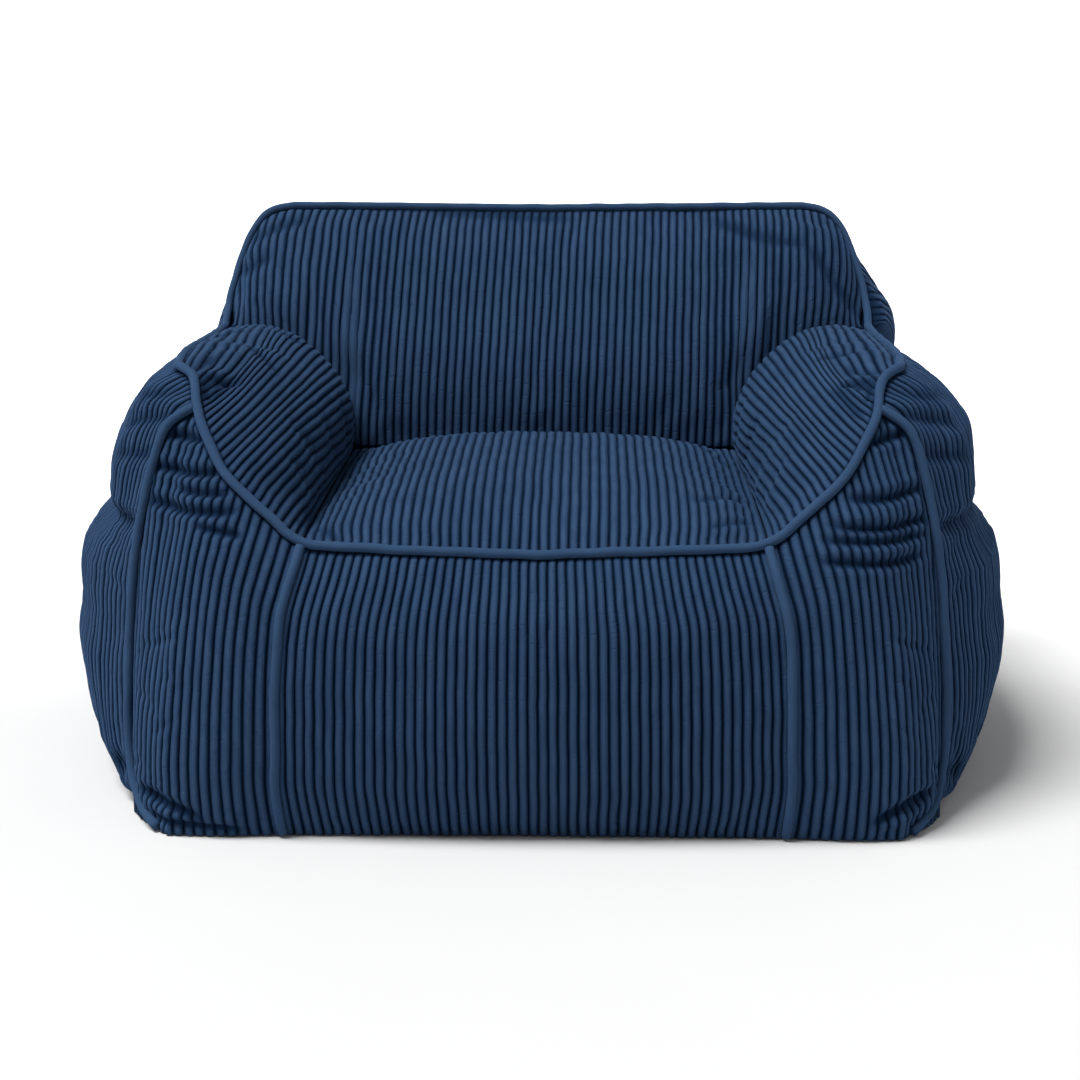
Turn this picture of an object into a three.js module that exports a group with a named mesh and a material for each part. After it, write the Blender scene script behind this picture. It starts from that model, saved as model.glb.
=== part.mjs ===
// A pouf armchair: filled wide-rib corduroy panels, joined at piped and plain seams.
// Millimetres. X runs across the seat, Y from the front to the back, Z up from the floor.
// Each panel is one solid that holds its share of the filling, from its outer face down to the base sheet.
import * as THREE from 'three';

// Cloth and piping
const PIPING_RADIUS = 4.7;
const PIPED_ROOM = 7;
const CORNER_ROOM = 8.2;
const PLAIN_ROOM = 0.8;
const WALL_ROOM = 0.3;
const SEAM_DEPTH = 20;
const PIPING_SIDES = 8;
const RIB_DEPTH = 2.4;
const RIB_DEPTH_AT_EDGE = 1.2;

// The sheet underneath
const BASE_THICKNESS = 3;
const FLOOR = BASE_THICKNESS + 0.3;
const BASE_INSET = 6;

// All hidden walls lean towards this point under the middle of the chair.
const MIDDLE = new THREE.Vector3(0, 40, -400);

// Ribs counted across each panel
const RIBS = { seat: 46, front: 46, corner: 16, arm: 24, side: 54, backInside: 78, backOutside: 72 };

// Steps along the ribs, as shares of a panel's height or depth
const STANDING_STEPS = [0, 0.15, 0.32, 0.48, 0.6, 0.74, 0.91, 1];
const LYING_STEPS = [0, 0.07, 0.2, 0.38, 0.57, 0.76, 0.92, 1];
const BACKREST_STEPS = [0, 0.1, 0.3, 0.52, 0.74, 0.91, 1];

// Crown heights
const SEAT_CROWN = 44;
const ARM_CROWN = 52;
const BACKREST_CROWN = 34;
const FRONT_CROWN = 15;
const CORNER_CROWN = 24;
const BACK_CROWN = 48;
const SIDE_LOBES = [
  { height: 44, middle: 0.36, reach: 0.36 },
  { height: 34, middle: 0.74, reach: 0.22 },
];
const BACKREST_LEAN = 24;

// Seams of the left half. The rim is the closed loop that carries the main piping.
const ARM_FRONT = [
  { x: -235, y: -411, z: 303 },
  { x: -250, y: -407, z: 311 },
  { x: -266, y: -402, z: 325 },
  { x: -286, y: -395, z: 341 },
  { x: -306, y: -385, z: 358 },
  { x: -322, y: -372, z: 375 },
  { x: -336, y: -355, z: 396 },
  { x: -347, y: -338, z: 414 },
  { x: -353, y: -320, z: 429 },
  { x: -357, y: -303, z: 444 },
  { x: -363, y: -285, z: 455 },
  { x: -374, y: -272, z: 461 },
  { x: -384, y: -258, z: 463 },
];
const CORNER_SEAM_ROW = 8;
const ARM_TOP = [
  { x: -384, y: -258, z: 463 },
  { x: -394, y: -150, z: 464 },
  { x: -400, y: 0, z: 459 },
  { x: -402, y: 110, z: 457 },
  { x: -405, y: 200, z: 457 },
];
const BACK_SIDE = [
  { x: -405, y: 200, z: 457 },
  { x: -405, y: 236, z: 482 },
  { x: -395, y: 262, z: 524 },
  { x: -383, y: 279, z: 560 },
  { x: -368, y: 288, z: 586 },
  { x: -352, y: 291, z: 597 },
  { x: -328, y: 292, z: 602 },
];
const BACK_TOP = [
  { x: -328, y: 292, z: 602 },
  { x: -200, y: 292, z: 601 },
  { x: 0, y: 292, z: 599 },
];
const SEAT_FRONT = [
  { x: -235, y: -411, z: 303 },
  { x: -215, y: -414, z: 300 },
  { x: -131, y: -418, z: 297 },
  { x: 0, y: -420, z: 293 },
];

// Upright seams, from the base up
const FRONT_SIDE = [
  { x: -257, y: -432, z: FLOOR },
  { x: -259, y: -439, z: 21 },
  { x: -262, y: -446, z: 58 },
  { x: -261, y: -450, z: 95 },
  { x: -260, y: -451, z: 144 },
  { x: -258, y: -449, z: 189 },
  { x: -254, y: -446, z: 231 },
  { x: -248, y: -440, z: 255 },
  { x: -241, y: -430, z: 279 },
  { x: -235, y: -411, z: 303 },
];
const CORNER_SIDE = [
  { x: -378, y: -434, z: FLOOR },
  { x: -393, y: -415, z: 9 },
  { x: -411, y: -390, z: 20 },
  { x: -422, y: -368, z: 42 },
  { x: -427, y: -358, z: 70 },
  { x: -428, y: -353, z: 115 },
  { x: -426, y: -350, z: 170 },
  { x: -421, y: -346, z: 240 },
  { x: -413, y: -343, z: 300 },
  { x: -404, y: -339, z: 345 },
  { x: -397, y: -335, z: 372 },
  { x: -388, y: -330, z: 400 },
  { x: -377, y: -326, z: 415 },
  { x: -353, y: -320, z: 429 },
];
const BACK_CORNER = [
  { x: -430, y: 366, z: FLOOR },
  { x: -446, y: 358, z: 45 },
  { x: -458, y: 348, z: 130 },
  { x: -458, y: 335, z: 240 },
  { x: -450, y: 312, z: 340 },
  { x: -432, y: 262, z: 420 },
  { x: -405, y: 200, z: 457 },
];

// Creases between the seat, the arms and the backrest
const SEAT_ARM = [
  { x: -235, y: -411, z: 303 },
  { x: -240, y: -330, z: 300 },
  { x: -240, y: -150, z: 306 },
  { x: -238, y: 0, z: 312 },
  { x: -237, y: 105, z: 316 },
];
const SEAT_BACK = [
  { x: -237, y: 105, z: 316 },
  { x: -120, y: 107, z: 319 },
  { x: 0, y: 108, z: 320 },
];
const ARM_BACK = [
  { x: -237, y: 105, z: 316 },
  { x: -244, y: 122, z: 352 },
  { x: -264, y: 140, z: 388 },
  { x: -298, y: 160, z: 419 },
  { x: -350, y: 182, z: 444 },
  { x: -405, y: 200, z: 457 },
];

// The outline on the floor
const BASE_FRONT = [
  { x: -257, y: -432, z: FLOOR },
  { x: -130, y: -431, z: FLOOR },
  { x: 0, y: -430, z: FLOOR },
];
const BASE_CORNER = [
  { x: -378, y: -434, z: FLOOR },
  { x: -320, y: -437, z: FLOOR },
  { x: -257, y: -432, z: FLOOR },
];
const BASE_SIDE = [
  { x: -430, y: 366, z: FLOOR },
  { x: -458, y: 320, z: FLOOR },
  { x: -478, y: 240, z: FLOOR },
  { x: -490, y: 120, z: FLOOR },
  { x: -490, y: 0, z: FLOOR },
  { x: -480, y: -110, z: FLOOR },
  { x: -458, y: -220, z: FLOOR },
  { x: -430, y: -315, z: FLOOR },
  { x: -404, y: -385, z: FLOOR },
  { x: -378, y: -434, z: FLOOR },
];
const BASE_BACK = [
  { x: -430, y: 366, z: FLOOR },
  { x: -300, y: 392, z: FLOOR },
  { x: -150, y: 403, z: FLOOR },
  { x: 0, y: 406, z: FLOOR },
];

// Directions into the filling at the points where seams meet
const INTO = {
  seatCorner: new THREE.Vector3(0.2, 0.7, -0.7),
  armFront: new THREE.Vector3(0.3, 0.65, -0.7),
  armTip: new THREE.Vector3(0.25, 0.4, -0.88),
  armTop: new THREE.Vector3(0.15, 0, -1),
  armBack: new THREE.Vector3(0.4, 0.15, -0.9),
  backShoulder: new THREE.Vector3(0.35, 0.2, -0.9),
  backTop: new THREE.Vector3(0, 0.05, -1),
  seatFront: new THREE.Vector3(0, 0.75, -0.66),
  seatBack: new THREE.Vector3(0, 0.5, -0.86),
  crease: new THREE.Vector3(-0.35, 0.42, -0.84),
  seatSide: new THREE.Vector3(-0.2, 0.05, -0.97),
  frontSide: new THREE.Vector3(0, 1, 0),
  cornerSide: new THREE.Vector3(0.75, 0.66, 0),
  backCorner: new THREE.Vector3(0.6, -0.8, 0),
};

const CURVE_STEPS = 24;

function smooth(rows) {
  const points = rows.map((row) => new THREE.Vector3(row.x, row.y, row.z));
  const curve = new THREE.CatmullRomCurve3(points, false, 'catmullrom', 0.5);
  return curve.getPoints(CURVE_STEPS * (rows.length - 1));
}

function evenShares(count) {
  return Array.from({ length: count + 1 }, (unused, index) => index / count);
}

// A seam or a run of seams: its fine points, and its marks, each with the direction into the filling.
class Route {
  constructor(points, marks) {
    this.points = points;
    this.marks = marks;
    this.reach = [0];
    for (let i = 1; i < points.length; i += 1) {
      this.reach.push(this.reach[i - 1] + points[i].distanceTo(points[i - 1]));
    }
  }

  static along(points, shares, directions) {
    const plain = new Route(points, []);
    const marks = shares.map((share) => {
      const place = share * (directions.length - 1);
      const index = Math.min(Math.floor(place), directions.length - 2);
      const into = directions[index].clone().lerp(directions[index + 1], place - index).normalize();
      return { point: plain.at(share), into };
    });
    return new Route(points, marks);
  }

  at(share) {
    const length = this.reach[this.reach.length - 1];
    const wanted = THREE.MathUtils.clamp(share, 0, 1) * length;
    let low = 0;
    let high = this.reach.length - 1;
    while (high - low > 1) {
      const half = (low + high) >> 1;
      if (this.reach[half] > wanted) high = half;
      else low = half;
    }
    const span = this.reach[high] - this.reach[low];
    return this.points[low].clone().lerp(this.points[high], span > 0 ? (wanted - this.reach[low]) / span : 0);
  }

  atX(x) {
    const index = this.points.findIndex((point, i) => i > 0 && point.x >= x);
    const high = index < 0 ? this.points.length - 1 : index;
    const before = this.points[high - 1];
    const after = this.points[high];
    return before.clone().lerp(after, (x - before.x) / (after.x - before.x));
  }

  back() {
    return new Route([...this.points].reverse(), [...this.marks].reverse());
  }

  mirror() {
    const flip = (vector) => new THREE.Vector3(-vector.x, vector.y, vector.z);
    const marks = this.marks.map((mark) => ({ point: flip(mark.point), into: flip(mark.into) }));
    return new Route(this.points.map(flip), marks);
  }

  then(other) {
    return new Route([...this.points, ...other.points.slice(1)], [...this.marks, ...other.marks.slice(1)]);
  }
}

const armFrontPoints = smooth(ARM_FRONT);
const cornerSeamPoint = CORNER_SEAM_ROW * CURVE_STEPS;
const armFrontLow = Route.along(
  armFrontPoints.slice(0, cornerSeamPoint + 1), evenShares(11), [INTO.seatCorner, INTO.armFront],
);
const armFrontHigh = Route.along(
  armFrontPoints.slice(cornerSeamPoint), evenShares(6), [INTO.armFront, INTO.armTip],
);
const armTop = Route.along(
  smooth(ARM_TOP), LYING_STEPS, [INTO.armTip, INTO.armTop, INTO.armTop, INTO.armBack],
);
const backSide = Route.along(smooth(BACK_SIDE), evenShares(13), [INTO.armBack, INTO.backShoulder]);
const backTop = Route.along(smooth(BACK_TOP), evenShares(6), [INTO.backShoulder, INTO.backTop]);
const seatFront = Route.along(smooth(SEAT_FRONT), evenShares(6), [INTO.seatCorner, INTO.seatFront]);
const frontSide = Route.along(
  smooth(FRONT_SIDE), STANDING_STEPS, [INTO.frontSide, INTO.frontSide, INTO.frontSide, INTO.seatCorner],
);
const cornerSide = Route.along(
  smooth(CORNER_SIDE), STANDING_STEPS, [INTO.cornerSide, INTO.cornerSide, INTO.cornerSide, INTO.armFront],
);
const backCorner = Route.along(
  smooth(BACK_CORNER), STANDING_STEPS, [INTO.backCorner, INTO.backCorner, INTO.backCorner, INTO.armBack],
);
const seatArm = Route.along(
  smooth(SEAT_ARM), LYING_STEPS, [INTO.seatCorner, INTO.seatSide, INTO.seatSide, INTO.crease],
);
const seatBack = Route.along(smooth(SEAT_BACK), evenShares(3), [INTO.crease, INTO.seatBack]);
const armBack = Route.along(smooth(ARM_BACK), evenShares(10), [INTO.crease, INTO.armBack]);
const baseFront = new Route(smooth(BASE_FRONT), []);
const baseCorner = new Route(smooth(BASE_CORNER), []);
const baseSide = new Route(smooth(BASE_SIDE), []);
const baseBack = new Route(smooth(BASE_BACK), []);

const across = (half) => half.then(half.mirror().back());
const seatFrontWhole = across(seatFront);
const seatBackWhole = across(seatBack);
const backTopWhole = across(backTop);
const armFront = armFrontLow.then(armFrontHigh);
const backRim = across(backSide.then(backTop));
const backrestFoot = across(armBack.back().then(seatBack));

// Rises from 0 at both ends to 1 in the middle. A higher sharpness gives a flatter top.
function arch(share, sharpness) {
  return 1 - Math.abs(2 * share - 1) ** sharpness;
}

function lobe(share, middle, reach) {
  const away = Math.min(Math.abs(share - middle) / reach, 1);
  return Math.cos((away * Math.PI) / 2) ** 2;
}

// Fills the space between four edges: left and right run with the ribs, near and far run across them.
function stretched({ left, right, near, far }) {
  const corner = [near(0), near(1), far(0), far(1)];
  return (u, v) => {
    const point = near(u).multiplyScalar(1 - v).addScaledVector(far(u), v);
    point.addScaledVector(left(v), 1 - u).addScaledVector(right(v), u);
    point.addScaledVector(corner[0], -(1 - u) * (1 - v)).addScaledVector(corner[1], -u * (1 - v));
    return point.addScaledVector(corner[2], -(1 - u) * v).addScaledVector(corner[3], -u * v);
  };
}

const SMALL = 1e-3;

function slopes(face, u, v) {
  const lowU = Math.max(u - SMALL, 0);
  const highU = Math.min(u + SMALL, 1);
  const lowV = Math.max(v - SMALL, 0);
  const highV = Math.min(v + SMALL, 1);
  return {
    u: face(highU, v).sub(face(lowU, v)).divideScalar(highU - lowU),
    v: face(u, highV).sub(face(u, lowV)).divideScalar(highV - lowV),
  };
}

function outward(face, u, v) {
  const slope = slopes(face, u, v);
  return slope.u.cross(slope.v).normalize();
}

function crowned(face, height) {
  return (u, v) => face(u, v).addScaledVector(outward(face, u, v), height(u, v));
}

const LEAST_ANGLE = 0.3;

// The share of the panel that a room beside one edge takes, measured square to that edge.
function inset(face, u, v, acrossRibs, room) {
  if (room === 0) return 0;
  const slope = slopes(face, u, v);
  const inwards = acrossRibs ? slope.u : slope.v;
  const beside = acrossRibs ? slope.v : slope.u;
  const area = new THREE.Vector3().crossVectors(inwards, beside).length();
  const angle = Math.max(area / (inwards.length() * beside.length()), LEAST_ANGLE);
  return room / (inwards.length() * angle);
}

// Gathers a closed mesh, sharing vertices that coincide.
class Shell {
  constructor() {
    this.points = [];
    this.faces = [];
    this.known = new Map();
  }

  add(point) {
    const key = [point.x, point.y, point.z].map((value) => Math.round(value * 500)).join(' ');
    if (!this.known.has(key)) {
      this.known.set(key, this.points.length);
      this.points.push(point);
    }
    return this.known.get(key);
  }

  face(a, b, c) {
    if (a !== b && b !== c && c !== a) this.faces.push(a, b, c);
  }

  // Joins two runs of vertices side by side, whatever their counts. The first run has the face on its left.
  zip(first, second) {
    const place = (run) => {
      const reach = [0];
      for (let i = 1; i < run.length; i += 1) {
        reach.push(reach[i - 1] + this.points[run[i]].distanceTo(this.points[run[i - 1]]));
      }
      return reach.map((value) => value / (reach[reach.length - 1] || 1));
    };
    const firstPlace = place(first);
    const secondPlace = place(second);
    let i = 0;
    let j = 0;
    const joins = first.length + second.length - 2;
    for (let join = 0; join < joins; join += 1) {
      const secondDone = j === second.length - 1;
      const firstIsNext = i < first.length - 1
        && (secondDone || firstPlace[i + 1] + firstPlace[i] <= secondPlace[j + 1] + secondPlace[j]);
      if (firstIsNext) {
        this.face(first[i], second[j], first[i + 1]);
        i += 1;
      } else {
        this.face(first[i], second[j], second[j + 1]);
        j += 1;
      }
    }
  }

  mesh(name, material) {
    const geometry = new THREE.BufferGeometry();
    const numbers = this.points.flatMap((point) => [point.x, point.y, point.z]);
    geometry.setAttribute('position', new THREE.Float32BufferAttribute(numbers, 3));
    geometry.setIndex(this.faces);
    geometry.computeVertexNormals();
    const mesh = new THREE.Mesh(geometry, material);
    mesh.name = name;
    return mesh;
  }
}

// Where the line from a point to the middle meets the top of the base sheet
function footOf(point) {
  const share = (point.z - FLOOR) / (point.z - MIDDLE.z);
  const foot = point.clone().lerp(MIDDLE, share);
  foot.z = FLOOR;
  return foot;
}

// Moves a run of points aside by the wall's room, square to the run and to the direction into the filling.
function movedAside(points, directions, closed) {
  const count = points.length;
  const segments = closed ? count : count - 1;
  const sides = Array.from({ length: segments }, (unused, i) => {
    const j = (i + 1) % count;
    const run = points[j].clone().sub(points[i]);
    return run.cross(directions[i].clone().add(directions[j])).normalize();
  });
  return points.map((point, i) => {
    const before = sides[closed ? (i + segments - 1) % segments : Math.max(i - 1, 0)];
    const after = sides[closed ? i : Math.min(i, segments - 1)];
    const spread = Math.max(1 + before.dot(after), LEAST_ANGLE);
    return point.clone().addScaledVector(before.clone().add(after), WALL_ROOM / spread);
  });
}

// One panel with its filling. A standing panel's near edge is on the base sheet.
function panel({ name, edges, ribs, steps, crown, rooms, standing, material, nearAt, farAt }) {
  const face = stretched({
    left: (v) => edges.left.at(v),
    right: (v) => edges.right.at(v),
    near: nearAt ?? ((u) => edges.near.at(u)),
    far: farAt ?? ((u) => edges.far.at(u)),
  });
  const surface = crowned(face, crown);
  const shell = new Shell();
  const columns = ribs * 2;
  const grid = [];
  for (let i = 0; i <= columns; i += 1) {
    const a = i / columns;
    const nearShare = inset(surface, THREE.MathUtils.clamp(a, 0.01, 0.99), 0, false, rooms.near);
    const farShare = inset(surface, THREE.MathUtils.clamp(a, 0.01, 0.99), 1, false, rooms.far);
    const column = steps.map((b, row) => {
      const leftShare = rooms.ends ?? inset(surface, 0, THREE.MathUtils.clamp(b, 0.02, 0.98), true, rooms.left);
      const rightShare = rooms.ends ?? inset(surface, 1, THREE.MathUtils.clamp(b, 0.02, 0.98), true, rooms.right);
      const u = THREE.MathUtils.lerp(leftShare, 1 - rightShare, a);
      const v = THREE.MathUtils.lerp(nearShare, 1 - farShare, b);
      const point = surface(u, v);
      const atEdge = row === 0 || row === steps.length - 1;
      const depth = atEdge ? RIB_DEPTH_AT_EDGE : RIB_DEPTH;
      if (i % 2 === 1) point.addScaledVector(outward(surface, u, v), -depth);
      if (standing && row === 0) point.z = FLOOR;
      return shell.add(point);
    });
    grid.push(column);
  }
  for (let i = 0; i < columns; i += 1) {
    for (let row = 0; row < steps.length - 1; row += 1) {
      const [a, b, c, d] = [grid[i][row], grid[i + 1][row], grid[i + 1][row + 1], grid[i][row + 1]];
      if (i % 2 === 0) {
        shell.face(a, b, c);
        shell.face(a, c, d);
      } else {
        shell.face(a, b, d);
        shell.face(b, c, d);
      }
    }
  }

  // The sides in order round the panel, seen from outside
  const last = steps.length - 1;
  const outerSides = [
    grid.map((column) => column[0]),
    grid[columns],
    grid.map((column) => column[last]).reverse(),
    [...grid[0]].reverse(),
  ];
  const routes = [edges.near, edges.right, edges.far.back(), edges.left.back()];
  const first = standing ? 1 : 0;
  const marks = [];
  const starts = [];
  for (let side = first; side < 4; side += 1) {
    starts[side] = marks.length;
    const own = routes[side].marks;
    marks.push(...(side === 3 && !standing ? own.slice(0, -1) : own.slice(0, side === 3 ? own.length : -1)));
  }
  starts[4] = standing ? marks.length - 1 : marks.length;
  const under = marks.map((mark) => mark.point.clone().addScaledVector(mark.into, SEAM_DEPTH));
  const down = marks.map(() => new THREE.Vector3(0, 0, -1));
  const ring = movedAside(under, marks.map((mark) => mark.into), !standing);
  const feet = movedAside(under.map(footOf), down, !standing);
  if (standing) {
    [0, marks.length - 1].forEach((end) => {
      ring[end].z = FLOOR;
      feet[end] = ring[end].clone();
    });
  }
  const ringIds = ring.map((point) => shell.add(point));
  const footIds = feet.map((point) => shell.add(point));
  for (let side = first; side < 4; side += 1) {
    const ids = [];
    for (let k = starts[side]; k <= starts[side + 1]; k += 1) ids.push(ringIds[k % marks.length]);
    shell.zip(outerSides[side], ids);
  }
  const segments = standing ? marks.length - 1 : marks.length;
  for (let k = 0; k < segments; k += 1) {
    const next = (k + 1) % marks.length;
    shell.face(ringIds[k], footIds[k], ringIds[next]);
    shell.face(footIds[k], footIds[next], ringIds[next]);
  }
  const outline = standing ? [...outerSides[0], ...footIds] : footIds;
  const flat = outline.map((id) => new THREE.Vector2(shell.points[id].x, shell.points[id].y));
  THREE.ShapeUtils.triangulateShape(flat, []).forEach(([a, b, c]) => {
    shell.face(outline[a], outline[c], outline[b]);
  });
  return shell.mesh(name, material);
}

function mirrored(mesh, name) {
  const geometry = mesh.geometry.clone();
  geometry.scale(-1, 1, 1);
  const index = Array.from(geometry.getIndex().array);
  for (let i = 0; i < index.length; i += 3) {
    [index[i + 1], index[i + 2]] = [index[i + 2], index[i + 1]];
  }
  geometry.setIndex(index);
  geometry.computeVertexNormals();
  const copy = new THREE.Mesh(geometry, mesh.material.clone());
  copy.name = name;
  return copy;
}

// A round piping on a run of marks, closed on itself or with flat ends
function piping(name, marks, closed, material) {
  const shell = new Shell();
  const count = marks.length;
  const rings = marks.map((mark, i) => {
    const before = marks[closed ? (i + count - 1) % count : Math.max(i - 1, 0)].point;
    const after = marks[closed ? (i + 1) % count : Math.min(i + 1, count - 1)].point;
    const run = after.clone().sub(before).normalize();
    const side = run.clone().cross(mark.into).normalize();
    const top = side.clone().cross(run).normalize();
    return Array.from({ length: PIPING_SIDES }, (unused, k) => {
      const turn = ((k + 0.5) / PIPING_SIDES) * Math.PI * 2;
      const point = mark.point.clone().addScaledVector(side, Math.cos(turn) * PIPING_RADIUS);
      return shell.add(point.addScaledVector(top, Math.sin(turn) * PIPING_RADIUS));
    });
  });
  for (let i = 0; i < (closed ? count : count - 1); i += 1) {
    const here = rings[i];
    const next = rings[(i + 1) % count];
    for (let k = 0; k < PIPING_SIDES; k += 1) {
      const l = (k + 1) % PIPING_SIDES;
      shell.face(here[k], next[k], next[l]);
      shell.face(here[k], next[l], here[l]);
    }
  }
  if (!closed) {
    for (let k = 1; k < PIPING_SIDES - 1; k += 1) {
      shell.face(rings[0][0], rings[0][k], rings[0][k + 1]);
      shell.face(rings[count - 1][0], rings[count - 1][k + 1], rings[count - 1][k]);
    }
  }
  return shell.mesh(name, material);
}

const END_ROOM = 2 * PIPING_RADIUS + 4;
const FRONT_FOOT_ROOM = 4;
const CORNER_FOOT_ROOM = 18;

// The marks of an upright piping, kept clear of the rim above and of the base sheet below
function uprightMarks(route, footRoom) {
  const marks = route.marks.map((mark) => ({ point: mark.point.clone(), into: mark.into }));
  const shorten = (end, next, room) => {
    const length = end.point.distanceTo(next.point);
    end.point.lerp(next.point, room / length);
  };
  shorten(marks[0], marks[1], footRoom);
  shorten(marks[marks.length - 1], marks[marks.length - 2], END_ROOM);
  return marks;
}

const cloth = (colour) => new THREE.MeshStandardMaterial({ color: colour, roughness: 0.95, metalness: 0 });
const NAVY = 0x24395a;
const NAVY_LIGHT = 0x2e4770;

function seatPanel() {
  return panel({
    name: 'seat_panel',
    edges: { left: seatArm, right: seatArm.mirror(), near: seatFrontWhole, far: seatBackWhole },
    ribs: RIBS.seat,
    steps: LYING_STEPS,
    crown: (u, v) => SEAT_CROWN * arch(u, 3) * arch(v, 3.2),
    rooms: { left: PLAIN_ROOM, right: PLAIN_ROOM, near: PIPED_ROOM, far: PLAIN_ROOM },
    standing: false,
    material: cloth(NAVY),
  });
}

function innerArm() {
  return panel({
    name: 'inner_arm_left',
    edges: { left: armTop, right: seatArm, near: armFront.back(), far: armBack.back() },
    ribs: RIBS.arm,
    steps: LYING_STEPS,
    crown: (u, v) => ARM_CROWN * arch(u, 2.6) * arch(v, 3),
    rooms: { left: PIPED_ROOM, right: PLAIN_ROOM, near: PIPED_ROOM, far: PLAIN_ROOM },
    standing: false,
    material: cloth(NAVY),
  });
}

function backInside() {
  const halfWidth = -ARM_BACK[ARM_BACK.length - 1].x;
  const place = (u) => (2 * u - 1) * halfWidth;
  return panel({
    name: 'back_inside',
    edges: {
      left: new Route([backRim.at(0), backRim.at(0)], [backRim.marks[0]]),
      right: new Route([backRim.at(1), backRim.at(1)], [backRim.marks[backRim.marks.length - 1]]),
      near: backrestFoot,
      far: backRim,
    },
    nearAt: (u) => backrestFoot.atX(place(u)),
    farAt: (u) => backRim.atX(place(u) + BACKREST_LEAN * arch(u, 4) * 0.5),
    ribs: RIBS.backInside,
    steps: BACKREST_STEPS,
    crown: (u, v) => BACKREST_CROWN * arch(u, 6) * arch(v, 3),
    rooms: { ends: 0.018, near: PLAIN_ROOM, far: PIPED_ROOM },
    standing: false,
    material: cloth(NAVY),
  });
}

function frontPanel() {
  return panel({
    name: 'front_panel',
    edges: { left: frontSide, right: frontSide.mirror(), near: across(baseFront), far: seatFrontWhole },
    ribs: RIBS.front,
    steps: STANDING_STEPS,
    crown: (u, v) => FRONT_CROWN * arch(u, 2) * arch(v, 2.4),
    rooms: { left: PIPED_ROOM, right: PIPED_ROOM, near: 0, far: PIPED_ROOM },
    standing: true,
    material: cloth(NAVY),
  });
}

function frontCorner() {
  return panel({
    name: 'front_corner_left',
    edges: { left: cornerSide, right: frontSide, near: baseCorner, far: armFrontLow.back() },
    ribs: RIBS.corner,
    steps: STANDING_STEPS,
    crown: (u, v) => CORNER_CROWN * arch(u, 2) * arch(v, 2.6),
    rooms: { left: CORNER_ROOM, right: PIPED_ROOM, near: 0, far: PIPED_ROOM },
    standing: true,
    material: cloth(NAVY),
  });
}

function sidePanel() {
  const swell = (v) => SIDE_LOBES.reduce((sum, row) => sum + row.height * lobe(v, row.middle, row.reach), 0);
  return panel({
    name: 'side_left',
    edges: { left: backCorner, right: cornerSide, near: baseSide, far: armTop.back().then(armFrontHigh.back()) },
    ribs: RIBS.side,
    steps: STANDING_STEPS,
    crown: (u, v) => swell(v) * arch(u, 2.4),
    rooms: { left: PLAIN_ROOM, right: CORNER_ROOM, near: 0, far: PIPED_ROOM },
    standing: true,
    material: cloth(NAVY),
  });
}

function backOutside() {
  return panel({
    name: 'back_outside',
    edges: { left: backCorner.mirror(), right: backCorner, near: across(baseBack).back(), far: backRim.back() },
    ribs: RIBS.backOutside,
    steps: STANDING_STEPS,
    crown: (u, v) => BACK_CROWN * arch(u, 3) * arch(v, 2.2),
    rooms: { left: PLAIN_ROOM, right: PLAIN_ROOM, near: 0, far: PIPED_ROOM },
    standing: true,
    material: cloth(NAVY),
  });
}

const BASE_STEPS = 40;

function basePanel() {
  const half = baseBack.back().then(baseSide).then(baseCorner).then(baseFront);
  const outline = half.then(half.mirror().back());
  const count = BASE_STEPS * 2;
  const shape = new THREE.Shape();
  for (let i = 0; i < count; i += 1) {
    const point = outline.at(i / count);
    const reach = Math.hypot(point.x, point.y);
    const scale = (reach - BASE_INSET) / reach;
    if (i === 0) shape.moveTo(point.x * scale, point.y * scale);
    else shape.lineTo(point.x * scale, point.y * scale);
  }
  shape.closePath();
  const geometry = new THREE.ExtrudeGeometry(shape, { depth: BASE_THICKNESS, bevelEnabled: false });
  const mesh = new THREE.Mesh(geometry, cloth(NAVY));
  mesh.name = 'base_panel';
  return mesh;
}

function mainPiping() {
  const half = armFront.then(armTop).then(backSide).then(backTop);
  const loop = half.then(half.mirror().back()).then(seatFrontWhole.back());
  return piping('piping_main', loop.marks.slice(0, -1), true, cloth(NAVY_LIGHT));
}

function addBothSides(group, mesh) {
  group.add(mesh);
  group.add(mirrored(mesh, mesh.name.replace('_left', '_right')));
}

const chair = new THREE.Group();
chair.name = 'pouf_armchair';
chair.add(basePanel());
chair.add(seatPanel());
chair.add(frontPanel());
addBothSides(chair, frontCorner());
addBothSides(chair, innerArm());
addBothSides(chair, sidePanel());
chair.add(backInside());
chair.add(backOutside());
chair.add(mainPiping());
addBothSides(chair, piping('piping_front_left', uprightMarks(frontSide, FRONT_FOOT_ROOM), false, cloth(NAVY_LIGHT)));
addBothSides(chair, piping('piping_corner_left', uprightMarks(cornerSide, CORNER_FOOT_ROOM), false, cloth(NAVY_LIGHT)));

// The origin is on the floor, under the middle of the box that holds the chair.
chair.updateMatrixWorld(true);
const box = new THREE.Box3().setFromObject(chair);
const middle = box.getCenter(new THREE.Vector3());
chair.position.set(-middle.x, -middle.y, -box.min.z);
chair.updateMatrixWorld(true);

export default chair;
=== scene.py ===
# %% [markdown]
# # A pouf armchair in wide-rib corduroy
# The chair is a bag of filling in the shape of an armchair. A maker cuts eleven panels of
# corduroy, sews them together with a smooth piping in the outer seams, and stuffs the whole.
# This lesson dresses the fixed frame of solids with cloth: real ribs, puckers and soft light.

# %% Load the frame
import math

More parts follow.
